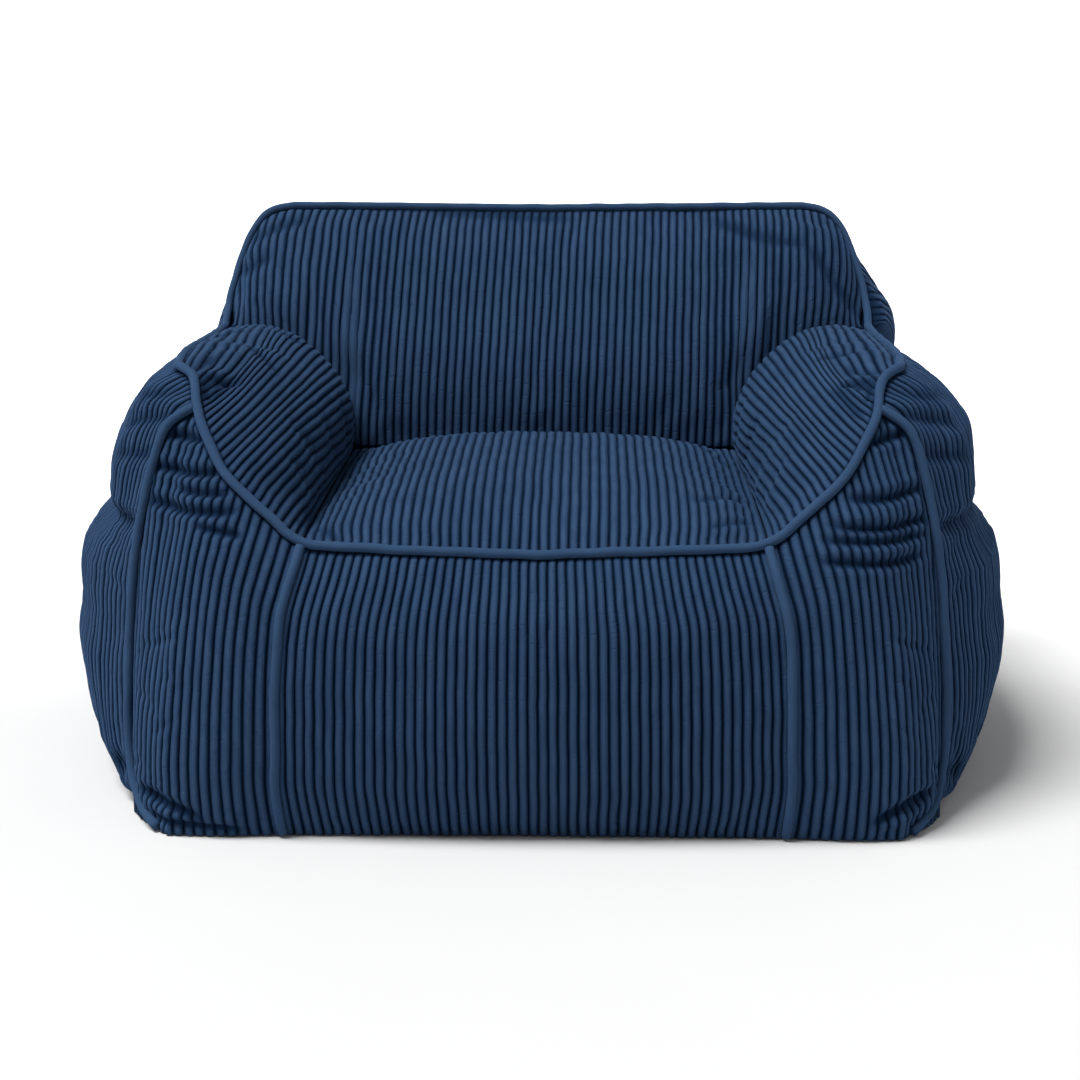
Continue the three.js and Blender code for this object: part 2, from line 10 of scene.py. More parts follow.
import bmesh
import bpy
import numpy as np
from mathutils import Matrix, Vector


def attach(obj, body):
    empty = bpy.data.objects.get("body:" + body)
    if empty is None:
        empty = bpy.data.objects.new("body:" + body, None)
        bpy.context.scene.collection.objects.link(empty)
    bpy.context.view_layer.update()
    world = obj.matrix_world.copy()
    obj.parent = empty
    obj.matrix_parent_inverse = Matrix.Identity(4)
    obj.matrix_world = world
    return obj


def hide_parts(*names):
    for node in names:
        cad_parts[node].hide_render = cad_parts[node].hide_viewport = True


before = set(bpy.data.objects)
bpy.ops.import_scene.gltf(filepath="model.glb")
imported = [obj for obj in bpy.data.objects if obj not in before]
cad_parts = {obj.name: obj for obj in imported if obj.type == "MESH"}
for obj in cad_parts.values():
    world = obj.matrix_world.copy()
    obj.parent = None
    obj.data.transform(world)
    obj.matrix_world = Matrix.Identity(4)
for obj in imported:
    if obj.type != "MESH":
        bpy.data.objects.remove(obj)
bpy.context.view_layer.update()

# %% [markdown]
# ## Camera, floor and light
# The photograph looks slightly down on the chair from the front, from about 2.7 m away.
# The camera keeps that place and is only turned a little further down, because a turn changes
# the shape far less than a step would. One broad light stands at the upper left, so each rib
# has a bright left flank and a dark groove on its right. A weak lamp lifts the left side, and a
# third one stands behind the chair and is turned to the backdrop.

# %% Camera
CAMERA_DISTANCE = 2.67
CAMERA_RISE = math.radians(10)
CAMERA_SWING = math.radians(1.2)
LOOK_HEIGHT = 0.3
EXTRA_TILT = math.radians(1.59)
EXTRA_TURN = math.radians(0.07)
LOOK_Y = 0.0111
LENS_MM = 74.67
SENSOR_MM = 36

flat_reach = CAMERA_DISTANCE * math.cos(CAMERA_RISE)
camera_data = bpy.data.cameras.new("camera")
camera_data.lens = LENS_MM
camera_data.sensor_width = SENSOR_MM
camera = bpy.data.objects.new("camera", camera_data)
camera.location = (
    flat_reach * math.sin(CAMERA_SWING),
    LOOK_Y - flat_reach * math.cos(CAMERA_SWING),
    LOOK_HEIGHT + CAMERA_DISTANCE * math.sin(CAMERA_RISE),
)
camera.rotation_euler = (math.pi / 2 - CAMERA_RISE - EXTRA_TILT, 0, CAMERA_SWING + EXTRA_TURN)
bpy.context.scene.collection.objects.link(camera)
bpy.context.scene.camera = camera
print("camera at", tuple(round(value, 3) for value in camera.location))

# %% Lights
WORLD_STRENGTH = 0.36


def aimed(name, kind, place, aim, **settings):
    """A light at a place, turned towards a point."""
    data = bpy.data.lights.new(name, kind)
    for key, value in settings.items():
        setattr(data, key, value)
    light = bpy.data.objects.new(name, data)
    light.location = place
    light.rotation_euler = (Vector(aim) - Vector(place)).to_track_quat("-Z", "Y").to_euler()
    bpy.context.scene.collection.objects.link(light)
    return light


aimed("key_light", "SUN", (-0.72, -0.38, 2.1), (0, 0, 0.3), energy=4.35, angle=math.radians(28))
aimed("left_light", "AREA", (-2.8, -0.6, 1.4), (0, 0, 0.3), energy=9, size=1.2)
aimed("backdrop_light", "AREA", (0, 2.4, 3.6), (0, 6.0, 1.2), energy=420, size=3.0)

world = bpy.data.worlds.new("studio")
world.use_nodes = True
world.node_tree.nodes["Background"].inputs["Color"].default_value = (1, 1, 1, 1)
world.node_tree.nodes["Background"].inputs["Strength"].default_value = WORLD_STRENGTH
bpy.context.scene.world = world
bpy.context.scene.view_settings.view_transform = "Standard"

# %% [markdown]
# ## Seams
# Everything follows from the seams, as it does for the maker. Each seam is a short table of
# points in millimetres on the left half; the right half is its mirror. A smooth curve runs
# through them. The rim is the closed loop that carries the main piping: over the backrest,
# down to the arms, forward along the arms, down their fronts and across under the seat.
# The seams could be curve objects, but points in arrays can be read at any share of their
# length, which is all that the panels need.

# %% Seam tables, in millimetres: x across, y towards the back, z up
FLOOR_MM = 3.3
CHAIR_SHIFT_MM = 11.1
ARM_FRONT = [
    (-235, -411, 303), (-250, -407, 311), (-266, -402, 325), (-286, -395, 341), (-306, -385, 358),
    (-322, -372, 375), (-336, -355, 396), (-347, -338, 414), (-353, -320, 429), (-357, -303, 444),
    (-363, -285, 455), (-374, -272, 461), (-384, -258, 463),
]
CORNER_SEAM_ROW = 8
ARM_TOP = [(-384, -258, 463), (-394, -150, 464), (-400, 0, 459), (-402, 110, 457), (-405, 200, 457)]
BACK_SIDE = [
    (-405, 200, 457), (-405, 236, 482), (-395, 262, 524), (-383, 279, 560), (-368, 288, 586),
    (-352, 291, 597), (-328, 292, 602),
]
BACK_TOP = [(-328, 292, 602), (-200, 292, 601), (0, 292, 599)]
SEAT_FRONT = [(-235, -411, 303), (-215, -414, 300), (-131, -418, 297), (0, -420, 293)]
FRONT_SIDE = [
    (-257, -432, FLOOR_MM), (-259, -439, 21), (-262, -446, 58), (-261, -450, 95), (-260, -451, 144),
    (-258, -449, 189), (-254, -446, 231), (-248, -440, 255), (-241, -430, 279), (-235, -411, 303),
]
CORNER_SIDE = [
    (-378, -434, FLOOR_MM), (-393, -415, 9), (-411, -390, 20), (-422, -368, 42), (-427, -358, 70),
    (-428, -353, 115), (-426, -350, 170), (-421, -346, 240), (-413, -343, 300), (-404, -339, 345),
    (-397, -335, 372), (-388, -330, 400), (-377, -326, 415), (-353, -320, 429),
]
BACK_CORNER = [
    (-430, 366, FLOOR_MM), (-446, 358, 45), (-458, 348, 130), (-458, 335, 240), (-450, 312, 340),
    (-432, 262, 420), (-405, 200, 457),
]
SEAT_ARM = [(-235, -411, 303), (-240, -330, 300), (-240, -150, 306), (-238, 0, 312), (-237, 105, 316)]
SEAT_BACK = [(-237, 105, 316), (-120, 107, 319), (0, 108, 320)]
ARM_BACK = [
    (-237, 105, 316), (-244, 122, 352), (-264, 140, 388), (-298, 160, 419), (-350, 182, 444),
    (-405, 200, 457),
]
BASE_FRONT = [(-257, -432, FLOOR_MM), (-130, -431, FLOOR_MM), (0, -430, FLOOR_MM)]
BASE_CORNER = [(-378, -434, FLOOR_MM), (-320, -437, FLOOR_MM), (-257, -432, FLOOR_MM)]
BASE_SIDE = [
    (-430, 366, FLOOR_MM), (-458, 320, FLOOR_MM), (-478, 240, FLOOR_MM), (-490, 120, FLOOR_MM),
    (-490, 0, FLOOR_MM), (-480, -110, FLOOR_MM), (-458, -220, FLOOR_MM), (-430, -315, FLOOR_MM),
    (-404, -385, FLOOR_MM), (-378, -434, FLOOR_MM),
]
BASE_BACK = [
    (-430, 366, FLOOR_MM), (-300, 392, FLOOR_MM), (-150, 403, FLOOR_MM), (0, 406, FLOOR_MM),
]
CURVE_STEPS = 24


def smooth(rows):
    """Points of a smooth curve through the rows of a seam table."""
    points = np.array(rows, float)
    ends = np.vstack([2 * points[0] - points[1], points, 2 * points[-1] - points[-2]])
    share = np.arange(CURVE_STEPS)[:, None] / CURVE_STEPS
    made = []
    for before, here, after, beyond in zip(ends, ends[1:], ends[2:], ends[3:]):
        bend = (2 * here) + (after - before) * share
        bend = bend + (2 * before - 5 * here + 4 * after - beyond) * share**2
        made.append(0.5 * (bend + (3 * here - before - 3 * after + beyond) * share**3))
    return np.vstack([*made, points[-1:]])


class Seam:
    """A run of seam points that can be read at any share of its length, or at an x."""

    def __init__(self, points):
        self.points = np.asarray(points, float)
        steps = np.linalg.norm(np.diff(self.points, axis=0), axis=1)
        self.reach = np.concatenate([[0], np.cumsum(steps)])

    def at(self, share):
        wanted = np.clip(share, 0, 1) * self.reach[-1]
        return np.stack([np.interp(wanted, self.reach, self.points[:, k]) for k in range(3)], -1)

    def at_key(self, direction, value):
        """The point that lies at a value along a direction, which grows along the seam."""
        keys = np.maximum.accumulate(self.points @ direction)
        return np.stack([np.interp(value, keys, self.points[:, k]) for k in range(3)], -1)

    def upper(self):
        """The part from its leftmost to its rightmost point, where x only grows."""
        x = self.points[:, 0]
        return Seam(self.points[np.argmin(x) : np.argmax(x) + 1])

    def back(self):
        return Seam(self.points[::-1])

    def mirror(self):
        return Seam(self.points * [-1, 1, 1])

    def then(self, other):
        return Seam(np.vstack([self.points, other.points[1:]]))

    def whole(self):
        """This left half and its mirror, from left to right."""
        return self.then(self.mirror().back())


arm_front_points = smooth(ARM_FRONT)
corner_point = CORNER_SEAM_ROW * CURVE_STEPS
arm_front_low = Seam(arm_front_points[: corner_point + 1])
arm_front_high = Seam(arm_front_points[corner_point:])
arm_front = Seam(arm_front_points)
arm_top = Seam(smooth(ARM_TOP))
back_side = Seam(smooth(BACK_SIDE))
back_top = Seam(smooth(BACK_TOP))
seat_front = Seam(smooth(SEAT_FRONT)).whole()
front_side = Seam(smooth(FRONT_SIDE))
corner_side = Seam(smooth(CORNER_SIDE))
back_corner = Seam(smooth(BACK_CORNER))
seat_arm = Seam(smooth(SEAT_ARM))
seat_back = Seam(smooth(SEAT_BACK))
arm_back = Seam(smooth(ARM_BACK))
base_side = Seam(smooth(BASE_SIDE))
base_corner = Seam(smooth(BASE_CORNER))
base_front = Seam(smooth(BASE_FRONT)).whole()
base_back = Seam(smooth(BASE_BACK)).whole()
back_rim = back_side.then(back_top).whole()
backrest_foot = arm_back.back().then(seat_back).whole()
print("rim half length mm", round(arm_front.reach[-1] + arm_top.reach[-1] + back_side.reach[-1]))

# %% [markdown]
# ## Filled panels
# A panel is stretched between its four seams and crowned by the filling behind it. Its
# coordinates are u, across the ribs, and v, along them, so a rib is simply a line of equal u.
# Sculpting could give the same shape, but a skin worked out from the seams always meets its
# neighbours, and the right half is the mirror of the left.

# %% Shape helpers


def arch(share, sharpness):
    """0 at both ends and 1 in the middle; a higher sharpness gives a flatter top."""
    return 1 - np.abs(2 * share - 1) ** sharpness


def lobe(share, middle, reach):
    """A round bump about a middle, 0 beyond its reach."""
    away = np.clip(np.abs(share - middle) / reach, 0, 1)
    return np.cos(away * math.pi / 2) ** 2


def fade(value, start, end):
    """0 before start and 1 past end, with a soft step between."""
    share = np.clip((value - start) / (end - start), 0, 1)
    return share * share * (3 - 2 * share)


def waves(seed, count, *axes):
    """Smooth noise from a few seeded sine waves over one or more axes, about -1 to 1."""
    draw = np.random.default_rng(seed)
    total = 0
    for _ in range(count):
        push = sum(axis * draw.normal(0, 1) for axis in axes)
        total = total + np.sin(push * 2 * math.pi + draw.uniform(0, 2 * math.pi))
    return total / math.sqrt(count / 2) * 0.5


def stretched(left, right, near, far):
    """The smooth skin between four edges: left and right run with the ribs."""

    def face(u, v):
        share_u, share_v = u[..., None], v[..., None]
        low, high = near(u), far(u)
        start, end = left(v), right(v)
        zero, one = np.zeros(1), np.ones(1)
        corners = [near(zero)[0], near(one)[0], far(zero)[0], far(one)[0]]
        skin = (1 - share_v) * low + share_v * high + (1 - share_u) * start + share_u * end
        skin = skin - (1 - share_u) * (1 - share_v) * corners[0] - share_u * (1 - share_v) * corners[1]
        return skin - (1 - share_u) * share_v * corners[2] - share_u * share_v * corners[3]

    return face


def ruled(near, far):
    """The skin of straight lines from one edge to the other, with the near edge's kinks fading out."""

    def soft_near(u):
        return np.mean([near(np.clip(u + away, 0, 1)) for away in np.linspace(-0.06, 0.06, 9)], axis=0)

    def face(u, v):
        share, soft = v[..., None], soft_near(u)
        return (1 - share) * soft + share * far(u) + (1 - share) ** 6 * (near(u) - soft)

    return face


def outward(face, u, v, step=1e-3):
    """The direction out of a face, from its slopes."""
    along_u = face(np.clip(u + step, 0, 1), v) - face(np.clip(u - step, 0, 1), v)
    along_v = face(u, np.clip(v + step, 0, 1)) - face(u, np.clip(v - step, 0, 1))
    normal = np.cross(along_u, along_v)
    return normal / np.maximum(np.linalg.norm(normal, axis=-1, keepdims=True), 1e-9)


def crowned(face, height):
    """A face raised outwards by its filling."""
    return lambda u, v: face(u, v) + height(u, v)[..., None] * outward(face, u, v)


def mirrored(surface):
    """The right-hand twin of a surface on the left."""
    return lambda u, v: surface(1 - u, v) * [-1, 1, 1]


def nearest(points, line):
    """The distance from each point to the nearest of a line's points."""
    flat = points.reshape(-1, 3).astype(np.float32)
    least = np.full(len(flat), np.inf, np.float32)
    for spot in line.astype(np.float32):
        least = np.minimum(least, ((flat - spot) ** 2).sum(-1))
    return np.sqrt(least).reshape(points.shape[:-1])


print("helpers ready")

# %% [markdown]
# ## Cloth simulation
# A stuffed panel isn't a clean arch: the cloth is a little larger than the space between its
# seams, so it swells and puckers near them. Each panel is made once as a coarse grid, pinned at
# its seams and blown up with Blender's Cloth. Only the movement is kept, capped, and it is
# added to the fine panel afterwards. Doing it coarsely keeps every run quick and repeatable.

# %% Simulated swelling
CLOTH_FRAMES = 20
CLOTH_SPARE = 0.035
MM = 0.001


def swelling(name, face, cells, cap):
    """How a pinned, pressurised sheet of cloth moves from a panel's face, as a grid in mm."""
    columns, rows = cells
    mesh = bmesh.new()
    bmesh.ops.create_grid(mesh, x_segments=columns, y_segments=rows, size=1)
    mesh.verts.ensure_lookup_table()
    place = np.array([vert.co for vert in mesh.verts])
    u, v = (place[:, 0] + 1) / 2, (place[:, 1] + 1) / 2
    start = face(u, v) * MM
    for vert, point in zip(mesh.verts, start):
        vert.co = point
    data = bpy.data.meshes.new(name + "_swelling")
    mesh.to_mesh(data)
    mesh.free()
    piece = bpy.data.objects.new(name + "_swelling", data)
    bpy.context.scene.collection.objects.link(piece)
    pins = piece.vertex_groups.new(name="pins")
    at_edge = (np.minimum(u, 1 - u) < 1e-4) | (np.minimum(v, 1 - v) < 1e-4)
    pins.add([int(i) for i in np.nonzero(at_edge)[0]], 1.0, "REPLACE")
    cloth = piece.modifiers.new("cloth", "CLOTH")
    cloth.settings.quality = 6
    cloth.settings.mass = 0.25
    cloth.settings.tension_stiffness = 18
    cloth.settings.compression_stiffness = 12
    cloth.settings.shear_stiffness = 8
    cloth.settings.bending_stiffness = 0.4
    cloth.settings.vertex_group_mass = "pins"
    cloth.settings.shrink_min = -CLOTH_SPARE
    cloth.settings.use_pressure = True
    cloth.settings.uniform_pressure_force = 4
    cloth.settings.effector_weights.gravity = 0
    cloth.point_cache.frame_start = 1
    cloth.point_cache.frame_end = CLOTH_FRAMES
    scene = bpy.context.scene
    for step in range(1, CLOTH_FRAMES + 1):
        scene.frame_set(step)
    shown = piece.evaluated_get(bpy.context.evaluated_depsgraph_get())
    moved = np.array([vert.co for vert in shown.data.vertices]) - start
    bpy.data.objects.remove(piece)
    bpy.data.meshes.remove(data)
    scene.frame_set(1)
    moved = moved / MM
    length = np.linalg.norm(moved, axis=1, keepdims=True)
    moved = moved * (cap * np.tanh(length / cap) / np.maximum(length, 1e-9))
    grid = np.zeros((rows + 1, columns + 1, 3))
    grid[np.rint(v * rows).astype(int), np.rint(u * columns).astype(int)] = moved
    print(name, "cloth moved up to mm", round(float(length.max()), 1))
    return grid


def read_grid(grid, u, v):
    """Reads a coarse grid softly at u and v."""
    rows, columns = grid.shape[0] - 1, grid.shape[1] - 1
    place_u, place_v = np.clip(u, 0, 1) * columns, np.clip(v, 0, 1) * rows
    i = np.minimum(place_u.astype(int), columns - 1)
    j = np.minimum(place_v.astype(int), rows - 1)
    a, b = place_u - i, place_v - j
    a, b = (a * a * (3 - 2 * a))[..., None], (b * b * (3 - 2 * b))[..., None]
    low = grid[j, i] * (1 - a) + grid[j, i + 1] * a
    high = grid[j + 1, i] * (1 - a) + grid[j + 1, i + 1] * a
    return low * (1 - b) + high * b


print("cloth spare", CLOTH_SPARE)

# %% [markdown]
# ## Ribs, tucks and creases
# Wide-rib corduroy has a round cord of pile every 10 mm with a narrow groove between. Six
# columns of faces to a rib, crowded towards the groove, are enough to make it round. Beside a
# piped seam the cloth dives under the piping, and the ribs end in small round noses. Creases
# are soft troughs along short lines, placed where the photograph shows them. A bump texture
# would be cheaper, but ribs of this size show at the chair's outline, so they are real shape.

# %% Rib and crease helpers
RIB_COLUMNS = (0.0, 0.08, 0.22, 0.5, 0.78, 0.92)
RIB_HEIGHT = 3.6
RIB_ROUNDNESS = 3.6
PIPED_TUCK = 7.5
PLAIN_TUCK = 6.0
SEAM_SINK = 0.4
SWELL_REACH = 45.0
SWELL_SHARE = 0.6


def rib_places(ribs):
    """The u of every column of a panel, six to a rib."""
    places = [(rib + share) / ribs for rib in range(ribs) for share in RIB_COLUMNS]
    return np.array([*places, 1.0])


def creased(points, creases):
    """How far creases press the cloth in, in mm, and how much they flatten its ribs, 0 to 1."""
    press = np.zeros(points.shape[:-1])
    flat = np.zeros(points.shape[:-1])
    for row in creases:
        start, end = np.array(row["start"], float), np.array(row["end"], float)
        seen = points[..., list(row.get("plane", (0, 2)))]
        run = end - start
        length = np.linalg.norm(run)
        share = np.clip(((seen - start) @ run) / length**2, 0, 1)
        side = np.array([-run[1], run[0]]) / length
        bow = row.get("bow", 0) * 4 * share * (1 - share)
        away = seen - (start + share[..., None] * run + bow[..., None] * side)
        gap = np.linalg.norm(away, axis=-1) / row["width"]
        taper = np.minimum(1, np.minimum(share, 1 - share) * 5 + 0.2)
        press = press + row["depth"] * taper * (np.exp(-(gap**2)) - 0.35 * np.exp(-((gap - 2.1) ** 2)))
        flat = np.maximum(flat, row.get("cut", 0.3) * taper * np.exp(-((1.3 * gap) ** 2)))
    return press, flat


print("columns for 46 ribs", len(rib_places(46)))

# %% [markdown]
# ## From grid to padded piece
# `create_grid` gives a flat sheet of faces. Every vertex is then moved to its place on the
# panel, the open edge is extruded into the seam and drawn together inside the filling, so each
# piece is a closed, stuffed form.

# %% Panel maker
SEAM_DROP_MM = 16.0
FOOT_SINK_MM = 1.5


def in_chair(points):
    """Millimetres of the seam tables to metres of the frame."""
    return (np.asarray(points, float) + [0, CHAIR_SHIFT_MM, 0]) * MM


def normals_of(grid):
    """Outward directions of a grid of points, from its own neighbours."""
    along_v, along_u = np.gradient(grid, axis=(0, 1))
    normal = np.cross(along_u, along_v)
    return normal / np.maximum(np.linalg.norm(normal, axis=-1, keepdims=True), 1e-9)


def padded_panel(name, surface, ribs, rows, hub, floor_edge=False, cap=9, cells=(40, 36),
                 plain=(), creases=(), extra=None, seed=1):
    """One sewn, stuffed panel with its ribs, as a closed piece that replaces its solid."""
    a, b = np.meshgrid(rib_places(ribs), np.linspace(0, 1, rows + 1))
    points = surface(a, b)
    edges = dict(left=points[:, 0], right=points[:, -1], near=points[0], far=points[-1])
    if floor_edge:
        del edges["near"]
    held = {side: nearest(points, line) for side, line in edges.items()}
    nearest_seam = np.minimum.reduce(list(held.values()))
    swell = read_grid(swelling(name, surface, cells, cap), a, b)
    points = points + swell * (SWELL_SHARE * fade(nearest_seam, 0, SWELL_REACH))[..., None]
    across = np.linalg.norm(np.gradient(points, axis=1), axis=-1)
    along = np.linalg.norm(np.gradient(points, axis=0), axis=-1)
    cloth_u = np.cumsum(across, axis=1) - across[:, :1]
    cloth_v = np.cumsum(along, axis=0) - along[:1]
    hold = np.ones_like(a)
    nose = np.ones_like(a)
    for side, gap in held.items():
        reach = PLAIN_TUCK if side in plain else PIPED_TUCK
        hold = np.minimum(hold, fade(gap, 0, reach))
        if side in ("near", "far"):
            nose = np.minimum(nose, np.sqrt(fade(gap, 0.3 * reach, 1.1 * reach)))
    normal = normals_of(points)
    press, flat = creased(points, creases)
    phase = np.broadcast_to(np.array([*RIB_COLUMNS] * ribs + [0.0]), a.shape)
    rib = (1 - np.abs(2 * phase - 1) ** RIB_ROUNDNESS) * (0.1 + 0.9 * nose)
    rib_index = np.minimum((a * ribs + 1e-6).astype(int), ribs - 1)
    each = np.random.default_rng(seed).normal(0, 1, ribs + 1)[rib_index]
    height = RIB_HEIGHT * (1 + 0.08 * each + 0.1 * waves(seed + 1, 12, b * 5, a * 4))
    height = height + 0.25 * waves(seed + 2, 14, cloth_v / 26, a * ribs * 0.35)
    relief = rib * (1 - flat) * height - RIB_HEIGHT * 0.55 - press
    relief = relief + 1.1 * waves(seed + 3, 10, cloth_v / 150, cloth_u / 150)
    if extra is not None:
        relief = relief + extra(points, a, b)
    relief = relief * hold - SEAM_SINK * (1 - hold)
    wander = 0.4 * waves(seed + 4, 10, b * 3.0, a * 5)
    side_way = np.gradient(points, axis=1)
    side_way = side_way / np.maximum(np.linalg.norm(side_way, axis=-1, keepdims=True), 1e-9)
    points = points + normal * relief[..., None] + side_way * (wander * hold)[..., None]
    if floor_edge:
        points[0, :, 2] = FLOOR_MM - FOOT_SINK_MM
        points[..., 2] = np.maximum(points[..., 2], FLOOR_MM - FOOT_SINK_MM)
    # The rib attribute carries painted shade into the colour: lower in the grooves, in the creases and
    # where the ribs end at the seams.
    return closed_piece(name, points, rib * (1 - 0.7 * flat), (cloth_u, cloth_v), hub)


def closed_piece(name, points, rib, cloth_mm, hub):
    """A grid of points as a closed mesh with a UV map in cloth metres and a rib attribute."""
    rows, columns = points.shape[0] - 1, points.shape[1] - 1
    mesh = bmesh.new()
    bmesh.ops.create_grid(mesh, x_segments=columns, y_segments=rows, size=1)
    mesh.verts.ensure_lookup_table()
    rib_layer = mesh.verts.layers.float.new("rib")
    uv_layer = mesh.loops.layers.uv.new("cloth")
    place = np.array([vert.co for vert in mesh.verts])
    i = np.rint((place[:, 0] + 1) / 2 * columns).astype(int)
    j = np.rint((place[:, 1] + 1) / 2 * rows).astype(int)
    metres = in_chair(points)
    cloth_u, cloth_v = cloth_mm[0] * MM, cloth_mm[1] * MM
    spots = np.stack([cloth_u[j, i], cloth_v[j, i]], -1)
    for vert, row, column in zip(mesh.verts, j, i):
        vert.co = metres[row, column]
        vert[rib_layer] = rib[row, column]
    mesh.verts.index_update()
    for polygon in mesh.faces:
        for loop in polygon.loops:
            loop[uv_layer].uv = spots[loop.vert.index]
    hub_point = Vector(in_chair(hub))
    edge = [e for e in mesh.edges if e.is_boundary]
    made = bmesh.ops.extrude_edge_only(mesh, edges=edge)["geom"]
    for vert in (item for item in made if isinstance(item, bmesh.types.BMVert)):
        vert.co += (hub_point - vert.co).normalized() * SEAM_DROP_MM * MM
        # The tuck into the seam gets the darkest colour, painted groove shade.
        vert[rib_layer] = 0.0
    inner = [item for item in made if isinstance(item, bmesh.types.BMEdge)]
    made = bmesh.ops.extrude_edge_only(mesh, edges=inner)["geom"]
    last = [item for item in made if isinstance(item, bmesh.types.BMVert)]
    bmesh.ops.pointmerge(mesh, verts=last, merge_co=hub_point)
    bmesh.ops.recalc_face_normals(mesh, faces=mesh.faces)
    for polygon in mesh.faces:
        polygon.smooth = True
    return finish_piece(name, mesh, CORDUROY)


def finish_piece(name, mesh, material):
    """Links a bmesh as a finished piece that rides on the chair and stands for its solids."""
    data = bpy.data.meshes.new("cloth_" + name)
    mesh.to_mesh(data)
    open_edges = sum(1 for e in mesh.edges if not e.is_manifold)
    triangles = sum(len(p.verts) - 2 for p in mesh.faces)
    mesh.free()
    piece = bpy.data.objects.new("cloth_" + name, data)
    bpy.context.scene.collection.objects.link(piece)
    data.materials.append(material)
    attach(piece, "root")
    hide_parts(name)
    print(name, "triangles", triangles, "open edges", open_edges)
    return piece


print("panel maker ready")

# %% [markdown]
# ## Materials
# A small class lets shader maths read as plain sums: it wraps a socket, and each operator adds
# the Math node that does the work. `node` makes any other node from its settings and sockets.

# %% Shader helper


class Link:
    """A shader socket with plus, minus, times and power."""

    def __init__(self, tree, socket):
        self.tree, self.socket = tree, socket

    def _with(self, operation, first, second):
        made = self.tree.nodes.new("ShaderNodeMath")
        made.operation = operation
        for place, value in enumerate((first, second)):
            if isinstance(value, Link):
                self.tree.links.new(value.socket, made.inputs[place])
            else:
                made.inputs[place].default_value = value
        return Link(self.tree, made.outputs[0])

    def __add__(self, other):
        return self._with("ADD", self, other)

    def __radd__(self, other):
        return self._with("ADD", other, self)

    def __sub__(self, other):
        return self._with("SUBTRACT", self, other)

    def __rsub__(self, other):
        return self._with("SUBTRACT", other, self)

    def __mul__(self, other):
        return self._with("MULTIPLY", self, other)

    def __rmul__(self, other):
        return self._with("MULTIPLY", other, self)

    def __pow__(self, other):
        return self._with("POWER", self, other)


class Finish:
    """A material under construction."""

    def __init__(self, name):
        self.material = bpy.data.materials.new(name)
        self.material.use_nodes = True
        self.tree = self.material.node_tree
        self.shader = self.tree.nodes["Principled BSDF"]

    def node(self, kind, output=0, settings=None, **sockets):
        """Any node: its settings first, then the values or links of its sockets."""
        made = self.tree.nodes.new(kind)
        for key, value in (settings or {}).items():
            setattr(made, key, value)
        for key, value in sockets.items():
            place = made.inputs[int(key[1:])] if key[0] == "_" else made.inputs[key.replace("_", " ")]
            if isinstance(value, Link):
                self.tree.links.new(value.socket, place)
            else:
                place.default_value = value
        return Link(self.tree, made.outputs[output])

    def feed(self, **sockets):
        """Sets or links the main shader's sockets."""
        for key, value in sockets.items():
            place = self.shader.inputs[key.replace("_", " ")]
            if isinstance(value, Link):
                self.tree.links.new(value.socket, place)
            else:
                place.default_value = value


print("shader helper ready")

# %% [markdown]
# ## Corduroy
# Velvety pile: painted shade darkens the grooves where light doesn't reach, a painted highlight
# makes the rib crests paler, and the shader adds a soft sheen; slightly streaky along the rib, and
# matt. The rib attribute of each panel says how high a point is on its rib, so it carries the painted
# shade and highlight; the fine pile is noise drawn out along the rib by the cloth's UV map.

# %% Corduroy and piping cloth
# The groove blue is painted shade deep in the corduroy's grooves; the base sheet reuses it as a plain
# dark tone.
GROOVE_BLUE = (0.0010, 0.0050, 0.0150, 1)
RIB_BLUE = (0.0158, 0.0375, 0.087, 1)
# The pale crest blue is a painted highlight on the rib tops.
CREST_HIGHLIGHT_BLUE = (0.043, 0.081, 0.150, 1)
PIPING_BLUE = (0.019, 0.042, 0.090, 1)
PIPING_PALE = (0.029, 0.060, 0.120, 1)


